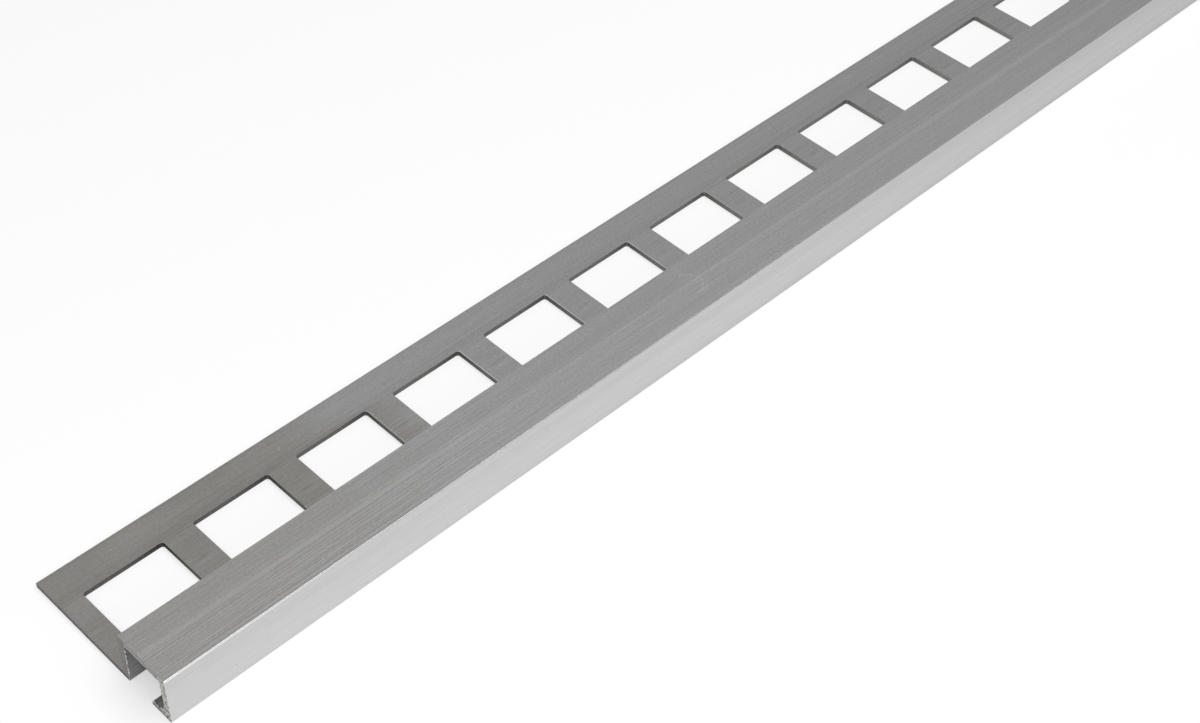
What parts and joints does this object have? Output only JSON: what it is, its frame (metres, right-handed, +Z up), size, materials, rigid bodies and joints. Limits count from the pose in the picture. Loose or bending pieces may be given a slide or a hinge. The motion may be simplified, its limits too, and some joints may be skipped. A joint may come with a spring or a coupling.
{
  "type": "tile edge trim",
  "caption": "Square-edge aluminium tile trim: an open box section with an upright face, inward foot and flat top, and a punched anchoring flange that is bedded under the tile.",
  "frame": {"origin": "under the middle of the trim, on the plane that it rests on", "axes": "+X along the length, +Y from the visible face towards the flange's back edge, +Z up"},
  "size_m": [1, 0.0346, 0.01],
  "materials": {
    "aluminium": "mill finish with fine lengthwise die lines"
  },
  "bodies": {
    "root": {"edge_trim": "aluminium"}
  },
  "joints": []
}
